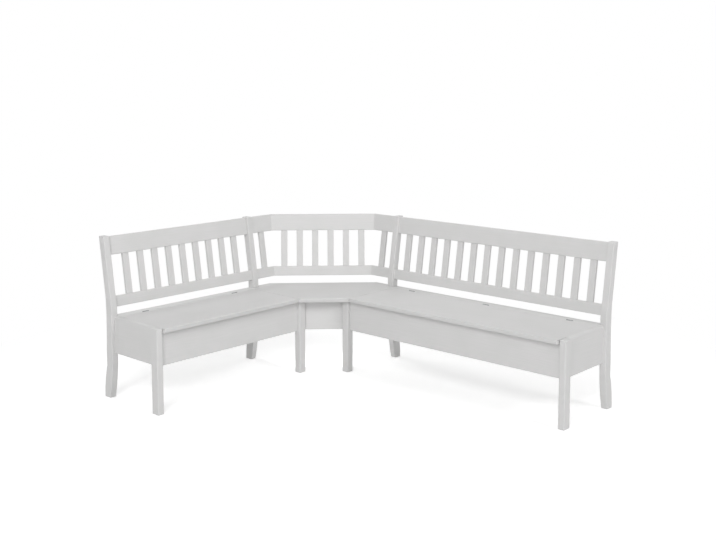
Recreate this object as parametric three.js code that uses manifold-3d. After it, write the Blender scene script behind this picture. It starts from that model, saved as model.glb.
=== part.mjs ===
// A white painted corner bench: a long and a short storage bench with hinged lids,
// joined by a corner seat whose slatted back runs round the corner in three facets.
// Millimetres, +Z up. The long bench runs along +X, the short bench along -Y, and both seats face
// away from their backs. The pieces are laid out from the floor point where the two rear planes
// would meet, and the whole bench is then moved so that its box stands centred on the origin.
import * as THREE from 'three';
import { mergeVertices } from 'three/addons/utils/BufferGeometryUtils.js';
import Module from 'manifold-3d';

const wasm = await Module();
wasm.setup();

// Driving dimensions of the whole bench
const longBenchLength = 2142;
const shortBenchLength = 1696;
const seatHeight = 460;
const frontLegPlane = 464;
const cornerFrameReach = 665;

// Gaps between pieces
const jointGap = 0.3;
const seatJointGap = 3;
const notchClearance = 2;
const lidEndGap = 2;
const lidRestGap = 0.5;

// Edges broken with a plane on every board
const edgeEase = 1.5;

// Front legs
const outerLegWidth = 38;
const outerLegDepth = 55;
const innerLegWidth = 47;
const innerLegDepth = 46;

// Rear posts: a foot that kicks back, a straight part at the chest and a raked top
const postWidth = 38;
const postDepth = 56;
const postHeight = 896;
const postTopRear = -47;
const postTopDepth = 46;
const postTopEase = 5;
const backRakeDegrees = 8.5;
const footKick = 25;
const footDepth = 50;
const rearKickHeight = 180;
const frontKickHeight = 215;
const rearKickTurnShare = 0.53;
const frontKickTurnShare = 0.47;
const frontKickSwellShare = 0.93;
const curveSteps = 7;

// The posts' knee, as heights above the seat or below it
const kneeRearDrop = 190;
const kneeRearTurnRise = 40;
const kneeFrontTurnRise = 40;
const kneeFrontSwell = 7;
const kneeTopRise = 125;

// Chest panels
const panelThickness = 18;
const panelRecess = 20;
const panelBottom = 254;
const rearPanelInset = 18;
const chestBottomThickness = 12;
const chestBottomLift = 8;
const grooveDepth = 6;

// Seat boards
const seatThickness = 25;
const seatOverhang = 21;
const seatRearSetback = 18;
const rearStripWidth = 59;
const cornerSeatReach = 25;
const cornerSeatRearCut = 517;

// Back: two rails with slats between them, leaning at the posts' rake
const backBaseDepth = 18.5;
const backBaseRise = 44;
const backTopDrop = 7.3;
const railThickness = 25;
const lowerRailShare = 0.154;
const topRailShare = 0.265;
const slatWidth = 39;
const slatThickness = 18;
const slatSetback = 5;
const slatTenon = 12;

// Slats of each bay, and the space from the bay's end to its first slat
const longSlats = { count: 14, endGap: 62.7 };
const shortSlats = { count: 9, endGap: 84.7 };
const diagonalSlats = { count: 6, endGap: 62.4 };
const wingSlats = { count: 1, endGap: 0 };

// Corner: how far the diagonal back lies behind the benches' backs, and the boards under the seat
const facetOffset = 324;
const apronThickness = 18;
const apronFaceSum = 1060;
const bearerThickness = 25;
const bearerHeight = 60;
const bearerFaceSum = 740;

// Lid hinges
const longHingeCount = 3;
const shortHingeCount = 2;
const hingeLength = 40;
const hingeInnerInset = 150;
const hingeOuterInset = 170;
const knuckleCount = 3;
const knuckleRadius = 3.5;
const knuckleClearance = 0.6;
const knuckleSideGap = 0.25;
const pinRadius = 1.5;
const pinClearance = 0.08;
const leafThickness = 1.2;
const leafHeight = 14;
const leafSeatGap = 0.1;
const leavesGap = 0.6;
const barSides = 20;
const cutOverrun = 5;

// Values worked out from the driving dimensions
const backRake = THREE.MathUtils.degToRad(backRakeDegrees);
const seatUnderside = seatHeight - seatThickness;
const seatFront = frontLegPlane + seatOverhang;
const seatJoint = cornerFrameReach + cornerSeatReach;
const hingeSeam = 2 * (leafSeatGap + leafThickness) + leavesGap;
const stripFront = seatRearSetback + rearStripWidth;
const hingeDepth = stripFront + hingeSeam / 2;
const rearPanelFront = rearPanelInset + panelThickness;
const frontPanelFront = frontLegPlane - panelRecess;
const frontPanelRear = frontPanelFront - panelThickness;
const chestBottomLow = panelBottom + chestBottomLift;
const chestBottomTop = chestBottomLow + chestBottomThickness;
const innerPostSide = cornerFrameReach - postWidth;
const innerLegSide = cornerFrameReach - innerLegWidth;
const backBaseHeight = seatHeight + backBaseRise;
const backLength = (postHeight - backTopDrop - backBaseHeight) / Math.cos(backRake);
const lowerRailHeight = backLength * lowerRailShare;
const topRailHeight = backLength * topRailShare;
const slatLength = backLength - lowerRailHeight - topRailHeight;
const topRailLow = lowerRailHeight + slatLength;
const knuckleLength = hingeLength / knuckleCount;

const paint = new THREE.MeshStandardMaterial({ color: 0xe9e8e3, roughness: 0.42, metalness: 0 });
const steel = new THREE.MeshStandardMaterial({ color: 0xb4b5b4, roughness: 0.35, metalness: 1 });

// A named mesh, put into its group
function addPiece(group, name, geometry, material = paint) {
  geometry.computeVertexNormals();
  const mesh = new THREE.Mesh(geometry, material.clone());
  mesh.name = name;
  group.add(mesh);
  return mesh;
}

// Extrudes an outline and breaks the edges of both end faces
function easedExtrusion(shape, depth, ease = edgeEase) {
  const geometry = new THREE.ExtrudeGeometry(shape, {
    depth: depth - 2 * ease,
    bevelEnabled: true,
    bevelThickness: ease,
    bevelSize: ease,
    bevelOffset: -ease,
    bevelSegments: 1,
    curveSegments: curveSteps,
  });
  geometry.translate(0, 0, ease);
  return geometry;
}

// A board with all twelve edges broken, one corner at the origin
function boardGeometry(width, depth, height) {
  const ease = edgeEase;
  const outline = new THREE.Shape([
    new THREE.Vector2(ease, 0),
    new THREE.Vector2(width - ease, 0),
    new THREE.Vector2(width, ease),
    new THREE.Vector2(width, depth - ease),
    new THREE.Vector2(width - ease, depth),
    new THREE.Vector2(ease, depth),
    new THREE.Vector2(0, depth - ease),
    new THREE.Vector2(0, ease),
  ]);
  return easedExtrusion(outline, height);
}

// A sharp-edged block between two corners, for cuts and metal parts
function blockGeometry(low, high) {
  const size = high.clone().sub(low);
  const geometry = new THREE.BoxGeometry(size.x, size.y, size.z);
  geometry.translate((low.x + high.x) / 2, (low.y + high.y) / 2, (low.z + high.z) / 2);
  return geometry;
}

// A round bar along X, centred on the origin of Y and Z
function barGeometry(radius, x0, x1) {
  const geometry = new THREE.CylinderGeometry(radius, radius, x1 - x0, barSides);
  geometry.rotateZ(Math.PI / 2);
  geometry.translate((x0 + x1) / 2, 0, 0);
  return geometry;
}

// A closed geometry as a solid that can be cut and joined
function toSolid(geometry) {
  const bare = geometry.clone();
  bare.deleteAttribute('normal');
  bare.deleteAttribute('uv');
  const merged = mergeVertices(bare);
  return new wasm.Manifold(new wasm.Mesh({
    numProp: 3,
    vertProperties: new Float32Array(merged.attributes.position.array),
    triVerts: new Uint32Array(merged.index.array),
  }));
}

// The solid's triangles as a geometry again
function toGeometry(solid) {
  const mesh = solid.getMesh();
  const geometry = new THREE.BufferGeometry();
  geometry.setAttribute('position', new THREE.BufferAttribute(new Float32Array(mesh.vertProperties), 3));
  geometry.setIndex(new THREE.BufferAttribute(new Uint32Array(mesh.triVerts), 1));
  return geometry;
}

// A bench's own frame: its length runs from the corner along hand * X, and its seat faces -Y.
// u is the distance from the corner, v the distance forward of the rear plane.
function makeRun(name, hand, length, slats, hingeCount) {
  const group = new THREE.Group();
  return {
    name,
    hand,
    group,
    slats,
    hingeCount,
    outerSide: length,
    outerFrame: length - outerLegWidth,
    low: (u0, u1) => Math.min(hand * u0, hand * u1),
    high: (u0, u1) => Math.max(hand * u0, hand * u1),
  };
}

// A board of a run, given by its u, v and z spans
function runBoard(run, name, u, v, z) {
  const width = Math.abs(u[1] - u[0]);
  const mesh = addPiece(run.group, `${run.name}_${name}`, boardGeometry(width, v[1] - v[0], z[1] - z[0]));
  mesh.position.set(run.low(...u), -v[1], z[0]);
  return mesh;
}

// An outline in v and z, extruded along the run between two values of u
function runProfile(run, name, shape, u) {
  const geometry = easedExtrusion(shape, Math.abs(u[1] - u[0]));
  const mesh = addPiece(run.group, `${run.name}_${name}`, geometry);
  const basis = new THREE.Matrix4().makeBasis(
    new THREE.Vector3(0, -1, 0),
    new THREE.Vector3(0, 0, 1),
    new THREE.Vector3(-1, 0, 0),
  );
  mesh.quaternion.setFromRotationMatrix(basis);
  mesh.position.x = run.high(...u);
  return mesh;
}

// The outer front leg comes up beside the lid, the inner one ends under the corner seat
function addFrontLegs(run) {
  const outerRear = frontLegPlane - outerLegDepth;
  const innerRear = frontLegPlane - innerLegDepth;
  runBoard(run, 'outer_front_leg', [run.outerFrame, run.outerSide], [outerRear, frontLegPlane], [0, seatHeight]);
  runBoard(run, 'inner_front_leg', [innerLegSide, cornerFrameReach], [innerRear, frontLegPlane],
    [0, seatUnderside]);
}

// Side view of a rear post, from the foot up its front and down its rear
function rearPostOutline() {
  const slope = Math.tan(backRake);
  const rearAt = (z) => postTopRear + slope * (postHeight - z);
  const frontAt = (z) => rearAt(z) + postTopDepth;
  const kneeFrontTurn = seatHeight + kneeFrontTurnRise;
  const kneeRearTurn = seatHeight + kneeRearTurnRise;
  const kneeTop = seatHeight + kneeTopRise;
  const shape = new THREE.Shape();
  shape.moveTo(-footKick, 0);
  shape.lineTo(footDepth - footKick, 0);
  shape.quadraticCurveTo(postDepth * frontKickSwellShare, frontKickHeight * frontKickTurnShare,
    postDepth, frontKickHeight);
  shape.lineTo(postDepth, seatHeight);
  shape.quadraticCurveTo(frontAt(kneeFrontTurn) + kneeFrontSwell, kneeFrontTurn, frontAt(kneeTop), kneeTop);
  shape.lineTo(frontAt(postHeight - postTopEase), postHeight - postTopEase);
  shape.lineTo(frontAt(postHeight) - postTopEase, postHeight);
  shape.lineTo(rearAt(postHeight) + postTopEase, postHeight);
  shape.lineTo(rearAt(postHeight - postTopEase), postHeight - postTopEase);
  shape.lineTo(rearAt(kneeTop), kneeTop);
  shape.quadraticCurveTo(rearAt(kneeRearTurn), kneeRearTurn, 0, seatHeight - kneeRearDrop);
  shape.lineTo(0, rearKickHeight);
  shape.quadraticCurveTo(-footKick, rearKickHeight * rearKickTurnShare, -footKick, 0);
  return shape;
}

function addRearPosts(run) {
  runProfile(run, 'outer_rear_post', rearPostOutline(), [run.outerFrame, run.outerFrame + postWidth]);
  runProfile(run, 'inner_rear_post', rearPostOutline(), [innerPostSide, cornerFrameReach]);
}

// Side view of a long chest panel, with the groove that holds the chest bottom.
// The groove opens towards the chest: forward on the rear panel, backward on the front panel.
function groovedPanelOutline(rear, front, opensForward) {
  const open = opensForward ? front : rear;
  const groove = opensForward ? front - grooveDepth : rear + grooveDepth;
  const grooveLow = chestBottomLow - jointGap;
  const grooveTop = chestBottomTop + jointGap;
  const closed = opensForward ? rear : front;
  return new THREE.Shape([
    new THREE.Vector2(closed, panelBottom),
    new THREE.Vector2(open, panelBottom),
    new THREE.Vector2(open, grooveLow),
    new THREE.Vector2(groove, grooveLow),
    new THREE.Vector2(groove, grooveTop),
    new THREE.Vector2(open, grooveTop),
    new THREE.Vector2(open, seatUnderside - lidRestGap),
    new THREE.Vector2(closed, seatUnderside - lidRestGap),
  ]);
}

// Front and rear panels, end panels and the bottom board of one chest
function addChest(run) {
  const length = [cornerFrameReach + jointGap, run.outerFrame - jointGap];
  const top = seatUnderside - lidRestGap;
  runProfile(run, 'rear_panel', groovedPanelOutline(rearPanelInset, rearPanelFront, true), length);
  runProfile(run, 'front_panel', groovedPanelOutline(frontPanelRear, frontPanelFront, false), length);
  runBoard(run, 'inner_end_panel', [cornerFrameReach - panelThickness, cornerFrameReach],
    [postDepth + jointGap, frontLegPlane - innerLegDepth - jointGap], [panelBottom, top]);
  runBoard(run, 'outer_end_panel', [run.outerFrame, run.outerFrame + panelThickness],
    [postDepth + jointGap, frontLegPlane - outerLegDepth - jointGap], [panelBottom, seatHeight]);
  runBoard(run, 'chest_bottom', length,
    [rearPanelFront - grooveDepth + jointGap, frontPanelRear + grooveDepth - jointGap],
    [chestBottomLow, chestBottomTop]);
}

// As many places as asked, evenly from the first to the last, or the middle where there is one
function spread(first, last, count) {
  if (count === 1) return [(first + last) / 2];
  return Array.from({ length: count }, (_, i) => first + (i * (last - first)) / (count - 1));
}

// Where the hinges of a run stand, as distances from the corner
function hingePlaces(run) {
  return spread(seatJoint + hingeInnerInset, run.outerFrame - hingeOuterInset, run.hingeCount);
}

// The lid and the fixed strip behind it, each let in for the hinge knuckles
function addSeatBoards(run) {
  const start = seatJoint + seatJointGap / 2;
  const lidRear = stripFront + hingeSeam;
  const strip = runBoard(run, 'rear_seat_strip', [start, run.outerFrame - jointGap],
    [seatRearSetback, stripFront], [seatUnderside, seatHeight]);
  const lid = runBoard(run, 'lid', [start, run.outerFrame - lidEndGap], [lidRear, seatFront],
    [seatUnderside, seatHeight]);
  cutHingeSeats(run, strip);
  cutHingeSeats(run, lid);
}

// Takes a square channel round the knuckles out of a seat board at each hinge
function cutHingeSeats(run, mesh) {
  const reach = knuckleRadius + knuckleClearance;
  let solid = toSolid(mesh.geometry);
  for (const u of hingePlaces(run)) {
    const half = hingeLength / 2 + knuckleClearance;
    const cut = blockGeometry(
      new THREE.Vector3(run.hand * u - half, -hingeDepth - reach, seatHeight - reach).sub(mesh.position),
      new THREE.Vector3(run.hand * u + half, -hingeDepth + reach, seatHeight + cutOverrun).sub(mesh.position),
    );
    solid = solid.subtract(toSolid(cut));
  }
  mesh.geometry = toGeometry(solid);
  mesh.geometry.computeVertexNormals();
}

// A leaf's plate and its tab at one knuckle, on the side of the seam that side gives (-1 rear, 1 front)
function leafPlates(side, knuckleSpans) {
  const near = leavesGap / 2;
  const far = near + leafThickness;
  const y = side > 0 ? [-far, -near] : [near, far];
  const plateTop = -knuckleRadius - knuckleClearance;
  const half = hingeLength / 2;
  const plate = blockGeometry(new THREE.Vector3(-half, y[0], plateTop - leafHeight),
    new THREE.Vector3(half, y[1], plateTop));
  const tabs = knuckleSpans.map(([x0, x1]) => blockGeometry(
    new THREE.Vector3(x0, y[0], plateTop - leafThickness), new THREE.Vector3(x1, y[1], 0)));
  return [plate, ...tabs].map(toSolid).reduce((joined, next) => joined.add(next));
}

// The leaf on the strip carries the two outer knuckles and the pin
function fixedLeafGeometry() {
  const half = hingeLength / 2;
  const inner = (knuckleLength + knuckleSideGap) / 2;
  const spans = [[-half, -inner], [inner, half]];
  let leaf = leafPlates(-1, spans).add(toSolid(barGeometry(pinRadius, -half, half)));
  for (const [x0, x1] of spans) {
    leaf = leaf.add(toSolid(barGeometry(knuckleRadius, x0, x1)));
  }
  return toGeometry(leaf);
}

// The leaf on the lid carries the middle knuckle, bored for the pin
function lidLeafGeometry() {
  const half = (knuckleLength - knuckleSideGap) / 2;
  const span = [-half, half];
  const knuckle = toSolid(barGeometry(knuckleRadius, ...span));
  const bore = toSolid(barGeometry(pinRadius + pinClearance, -half - cutOverrun, half + cutOverrun));
  return toGeometry(leafPlates(1, [span]).add(knuckle).subtract(bore));
}

function addHinges(run) {
  hingePlaces(run).forEach((u, index) => {
    const label = `${run.name}_hinge_${index + 1}`;
    for (const [part, geometry] of [['fixed_leaf', fixedLeafGeometry()], ['lid_leaf', lidLeafGeometry()]]) {
      const mesh = addPiece(run.group, `${label}_${part}`, geometry, steel);
      mesh.position.set(run.hand * u, -hingeDepth, seatHeight);
    }
  });
}

// A group that leans back at the rake, its origin at the lower rail's bottom rear edge
function makeBackGroup(parent, depth) {
  const back = new THREE.Group();
  back.position.set(0, -depth, backBaseHeight);
  back.rotation.x = -backRake;
  parent.add(back);
  return back;
}

// Middles of the slats in a bay
function slatPlaces(start, end, { count, endGap }) {
  const inset = endGap + slatWidth / 2;
  return spread(start + inset, end - inset, count);
}

// One slat between the rails, set back from their front
function addSlat(back, name, x) {
  const mesh = addPiece(back, name, boardGeometry(slatWidth, slatThickness, slatLength - 2 * jointGap));
  mesh.position.set(x - slatWidth / 2, slatSetback - railThickness, lowerRailHeight + jointGap);
}

// A straight rail of a bench's back
function addRail(back, name, x0, x1, low, height) {
  const mesh = addPiece(back, name, boardGeometry(x1 - x0, railThickness, height));
  mesh.position.set(x0, -railThickness, low);
  return mesh;
}

// Joins slats to a rail as one comb
function joinSlats(rail, places) {
  let comb = toSolid(rail.geometry);
  for (const x of places) {
    const slat = boardGeometry(slatWidth, slatThickness, slatLength + slatTenon - jointGap);
    slat.translate(x - slatWidth / 2 - rail.position.x, slatSetback, lowerRailHeight - slatTenon);
    comb = comb.add(toSolid(slat));
  }
  rail.geometry = toGeometry(comb);
  rail.geometry.computeVertexNormals();
}

// The straight back of one bench. Its slats are pieces of their own, or one comb with the lower rail.
function addBenchBack(run, combed) {
  const back = makeBackGroup(run.group, backBaseDepth);
  const start = cornerFrameReach + jointGap;
  const end = run.outerFrame - jointGap;
  const [x0, x1] = [run.low(start, end), run.high(start, end)];
  const lower = addRail(back, `${run.name}_lower_rail`, x0, x1, 0, lowerRailHeight);
  addRail(back, `${run.name}_top_rail`, x0, x1, topRailLow, topRailHeight);
  const places = slatPlaces(start, end, run.slats).map((u) => run.hand * u);
  if (combed) {
    joinSlats(lower, places);
  } else {
    places.forEach((x, i) => addSlat(back, `${run.name}_slat_${i + 1}`, x));
  }
}

// Distance along a wing at which it meets the diagonal facet, for a point v forward of the rear plane
function mitreReach(v) {
  return Math.SQRT2 * (v + facetOffset) - v;
}

// A rail that runs from one inner post round the corner to the other in three mitred facets
function bentRailGeometry(low, height) {
  const [front, top, ease] = [railThickness, low + height, edgeEase];
  const section = [
    [ease, low], [front - ease, low], [front, low + ease], [front, top - ease],
    [front - ease, top], [ease, top], [0, top - ease], [0, low + ease],
  ].map(([n, s]) => ({
    v: backBaseDepth + n * Math.cos(backRake) - s * Math.sin(backRake),
    z: backBaseHeight + n * Math.sin(backRake) + s * Math.cos(backRake),
  }));
  const end = innerPostSide - jointGap;
  const stations = [
    ({ v, z }) => [v, -end, z],
    ({ v, z }) => [v, -mitreReach(v), z],
    ({ v, z }) => [mitreReach(v), -v, z],
    ({ v, z }) => [end, -v, z],
  ];
  return loftGeometry(stations.map((place) => section.map(place)));
}

// A closed skin through rings of as many points each, with flat ends
function loftGeometry(rings) {
  const sides = rings[0].length;
  const index = [];
  for (let ring = 0; ring < rings.length - 1; ring += 1) {
    for (let side = 0; side < sides; side += 1) {
      const a = ring * sides + side;
      const b = ring * sides + ((side + 1) % sides);
      index.push(a, a + sides, b, b, a + sides, b + sides);
    }
  }
  const last = (rings.length - 1) * sides;
  for (let side = 1; side < sides - 1; side += 1) {
    index.push(0, side, side + 1, last, last + side + 1, last + side);
  }
  const geometry = new THREE.BufferGeometry();
  geometry.setAttribute('position', new THREE.Float32BufferAttribute(rings.flat(2), 3));
  geometry.setIndex(index);
  return geometry;
}

// Rails and slats of the corner's back: a slat in each wing, and the row on the diagonal
function addCornerBack(corner, runs) {
  addPiece(corner, 'corner_lower_rail', bentRailGeometry(0, lowerRailHeight));
  addPiece(corner, 'corner_top_rail', bentRailGeometry(topRailLow, topRailHeight));
  const middle = backBaseDepth - (lowerRailHeight + slatLength / 2) * Math.sin(backRake);
  for (const run of runs) {
    const back = makeBackGroup(run.group, backBaseDepth);
    slatPlaces(mitreReach(middle), innerPostSide, wingSlats).forEach((u, i) => {
      addSlat(back, `corner_${run.name}_wing_slat_${i + 1}`, run.hand * u);
    });
  }
  const diagonal = new THREE.Group();
  diagonal.rotation.z = Math.PI / 4;
  corner.add(diagonal);
  const back = makeBackGroup(diagonal, backBaseDepth + facetOffset);
  const halfFacet = (mitreReach(middle) - middle) / Math.SQRT2;
  slatPlaces(-halfFacet, halfFacet, diagonalSlats).forEach((x, i) => {
    addSlat(back, `corner_slat_${i + 1}`, x);
  });
}

// The corner seat: joint edges at both lids, a diagonal front, a diagonal rear and two post notches
function addCornerSeat(corner) {
  const joint = seatJoint - seatJointGap / 2;
  const rear = seatRearSetback;
  const notch = [innerPostSide - notchClearance, cornerFrameReach + notchClearance];
  const notchDepth = postDepth + notchClearance;
  const half = [
    [joint, seatFront], [joint, rear], [notch[1], rear], [notch[1], notchDepth],
    [notch[0], notchDepth], [notch[0], rear], [cornerSeatRearCut - rear, rear],
  ];
  const points = [...half, ...half.map(([u, v]) => [v, u]).reverse()];
  const outline = new THREE.Shape(points.map(([x, y]) => new THREE.Vector2(x, -y)));
  const mesh = addPiece(corner, 'corner_seat', easedExtrusion(outline, seatThickness));
  mesh.position.z = seatUnderside;
}

// A board across the corner at 45 degrees. faceSum is u + v along its front face, and both
// ends are cut to stand against the frames' sides at the given reach.
function addDiagonalBoard(corner, name, faceSum, thickness, reach, z) {
  const end = reach - jointGap;
  const rearSum = faceSum - thickness * Math.SQRT2;
  const outline = new THREE.Shape([
    new THREE.Vector2(rearSum - end, -end),
    new THREE.Vector2(faceSum - end, -end),
    new THREE.Vector2(end, end - faceSum),
    new THREE.Vector2(end, end - rearSum),
  ]);
  const mesh = addPiece(corner, name, easedExtrusion(outline, z[1] - z[0]));
  mesh.position.z = z[0];
}

function addCornerUnit(root, runs) {
  const corner = new THREE.Group();
  root.add(corner);
  addCornerSeat(corner);
  addDiagonalBoard(corner, 'corner_apron', apronFaceSum, apronThickness, innerLegSide,
    [panelBottom, seatUnderside]);
  addDiagonalBoard(corner, 'corner_rear_bearer', bearerFaceSum, bearerThickness,
    cornerFrameReach - panelThickness, [seatUnderside - bearerHeight, seatUnderside]);
  addCornerBack(corner, runs);
}

function addBench(root, run, combed) {
  root.add(run.group);
  addFrontLegs(run);
  addRearPosts(run);
  addChest(run);
  addSeatBoards(run);
  addHinges(run);
  addBenchBack(run, combed);
}

const bench = new THREE.Group();
const longRun = makeRun('long', 1, longBenchLength, longSlats, longHingeCount);
const shortRun = makeRun('short', -1, shortBenchLength, shortSlats, shortHingeCount);
shortRun.group.rotation.z = Math.PI / 2;
addBench(bench, longRun, true);
addBench(bench, shortRun, false);
addCornerUnit(bench, [longRun, shortRun]);

const box = new THREE.Box3().setFromObject(bench);
const centre = box.getCenter(new THREE.Vector3());
bench.position.set(-centre.x, -centre.y, -box.min.z);

export default bench;
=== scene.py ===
"""A white painted corner storage bench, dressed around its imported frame.

Two chest benches with hinged lids meet at a corner seat, whose slatted back runs round the corner in
three facets. Everything is in metres in the row frame, with Z up. Each bench is modelled in its own
frame, which starts at the corner point where the two rear planes meet: x runs along the bench and
minus y is the distance forward of the rear plane.
"""

import logging
import math
from collections.abc import Callable, Iterator, Sequence
from contextlib import contextmanager
from dataclasses import dataclass
from enum import Enum

import bmesh
import bpy
from mathutils import Matrix, Vector


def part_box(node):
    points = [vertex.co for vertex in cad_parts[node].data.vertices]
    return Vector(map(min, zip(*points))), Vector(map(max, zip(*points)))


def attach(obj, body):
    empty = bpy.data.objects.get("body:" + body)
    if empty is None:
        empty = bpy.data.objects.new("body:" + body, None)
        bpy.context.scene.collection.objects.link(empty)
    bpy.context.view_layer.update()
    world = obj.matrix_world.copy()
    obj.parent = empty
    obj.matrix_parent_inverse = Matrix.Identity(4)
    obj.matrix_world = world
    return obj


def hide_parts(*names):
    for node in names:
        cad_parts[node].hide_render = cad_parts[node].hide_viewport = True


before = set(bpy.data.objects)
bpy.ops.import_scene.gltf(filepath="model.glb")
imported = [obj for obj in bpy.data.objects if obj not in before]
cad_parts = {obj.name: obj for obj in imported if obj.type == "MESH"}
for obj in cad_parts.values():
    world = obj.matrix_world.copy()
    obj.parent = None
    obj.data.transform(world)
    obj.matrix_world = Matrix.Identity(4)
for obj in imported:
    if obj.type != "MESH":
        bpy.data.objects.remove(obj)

LOG = logging.getLogger("corner_bench")

PHOTO_WIDTH_PX = 716

BENCH_BODY = "bench_frame"

# The benches' own dimensions, as in the part's source
LONG_LENGTH = 2.142
SHORT_LENGTH = 1.696
FRONT_LEG_PLANE = 0.464
FRAME_REACH = 0.665
POST_WIDTH = 0.038
POST_DEPTH = 0.056
OUTER_LEG_WIDTH = 0.038
JOINT_GAP = 0.0003
SEAT_HEIGHT = 0.460
RAKE = math.radians(8.5)
DIAGONAL_TURN = math.pi / 4

SMOOTH_ANGLE = math.radians(40)
ARRIS_SEGMENTS = 3
WIDE_ROUND_SEGMENTS = 4
FINE_ARRIS_SEGMENTS = 2
TOUCH = 1e-5
SAW_PRECISION = 1e-6
# The least cosine at which a face counts as looking in a direction
FACING = 0.9
WHITE = (1.0, 1.0, 1.0, 1.0)

Place = tuple[float, float, float]
EdgeTest = Callable[[bmesh.types.BMEdge], bool]
FaceTest = Callable[[bmesh.types.BMFace], bool]


class Axis(Enum):
    """The three directions of a frame, by their place in a vector."""

    X = 0
    Y = 1
    Z = 2

    def vector(self) -> Vector:
        """The unit vector of the direction."""
        return Vector([1.0 if place == self.value else 0.0 for place in range(3)])


class Grain(Enum):
    """Which way fibres and rolled lines run, as turns about Z and Y in degrees."""

    ALONG_LONG_BENCH = (0.0, 0.0)
    ALONG_SHORT_BENCH = (90.0, 0.0)
    ALONG_DIAGONAL = (45.0, 0.0)
    UPRIGHT = (0.0, 90.0)


class Picking(Enum):
    """What is picked when a piece is opened, as a select mode and what it starts with."""

    EDGES = ("EDGE", "DESELECT")
    FACES = ("FACE", "DESELECT")
    EVERYTHING = ("FACE", "SELECT")


class Merge(Enum):
    """How a second solid changes a piece."""

    JOIN = "UNION"
    CUT = "DIFFERENCE"


class Side(Enum):
    """What a hinge leaf is screwed to, as the sign of its place behind the seam."""

    STRIP = 1
    LID = -1


def hex_to_linear(code: str) -> tuple[float, float, float, float]:
    """Turns an sRGB hex colour to linear light.

    Args:
        code: Six hex digits after a hash sign.

    Returns:
        Red, green, blue and an alpha of 1.
    """
    channels = [int(code[place : place + 2], 16) / 255 for place in (1, 3, 5)]
    linear = [c / 12.92 if c <= 0.04045 else ((c + 0.055) / 1.055) ** 2.4 for c in channels]
    return (*linear, 1.0)


def add_node(
    tree: bpy.types.NodeTree, kind: str, inputs: dict[str | int, object] | None = None, **settings: object
) -> bpy.types.Node:
    """Adds one node with its settings, and sets or links its inputs.

    Args:
        tree: The node tree that gets the node.
        kind: Blender's name of the node type.
        inputs: For each input socket, by name or place, a value or the output socket to link.
        settings: Properties of the node itself.

    Returns:
        The new node.
    """
    node = tree.nodes.new(kind)
    for name, value in settings.items():
        setattr(node, name, value)
    for socket, value in (inputs or {}).items():
        if isinstance(value, bpy.types.NodeSocket):
            tree.links.new(value, node.inputs[socket])
        else:
            node.inputs[socket].default_value = value
    return node


def new_material(name: str) -> tuple[bpy.types.Material, bpy.types.NodeTree]:
    """Makes an empty node material.

    Args:
        name: The material's name.

    Returns:
        The material and its cleared node tree.
    """
    material = bpy.data.materials.new(name)
    material.use_nodes = True
    material.node_tree.nodes.clear()
    return material, material.node_tree


def draw_streaks(
    tree: bpy.types.NodeTree, grain: Grain, length: float, width: float, detail: float
) -> bpy.types.NodeSocket:
    """Draws long streaks along the grain, from a noise that is turned to it and stretched.

    Args:
        tree: The finish's node tree.
        grain: The direction of the streaks.
        length: How long a streak is.
        width: How wide it is.
        detail: How many finer layers the noise has.

    Returns:
        The socket that holds the streaks, from 0 to 1.
    """
    turn, tip = (math.radians(angle) for angle in grain.value)
    place = add_node(tree, "ShaderNodeTexCoord").outputs["Object"]
    turned = add_node(tree, "ShaderNodeMapping", {"Vector": place, "Rotation": (0.0, tip, -turn)})
    scale = (1 / length, 1 / width, 1 / width)
    stretched = add_node(tree, "ShaderNodeMapping", {"Vector": turned.outputs["Vector"], "Scale": scale})
    noise_inputs = {"Vector": stretched.outputs["Vector"], "Scale": 1.0, "Detail": detail}
    return add_node(tree, "ShaderNodeTexNoise", noise_inputs).outputs["Fac"]


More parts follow.
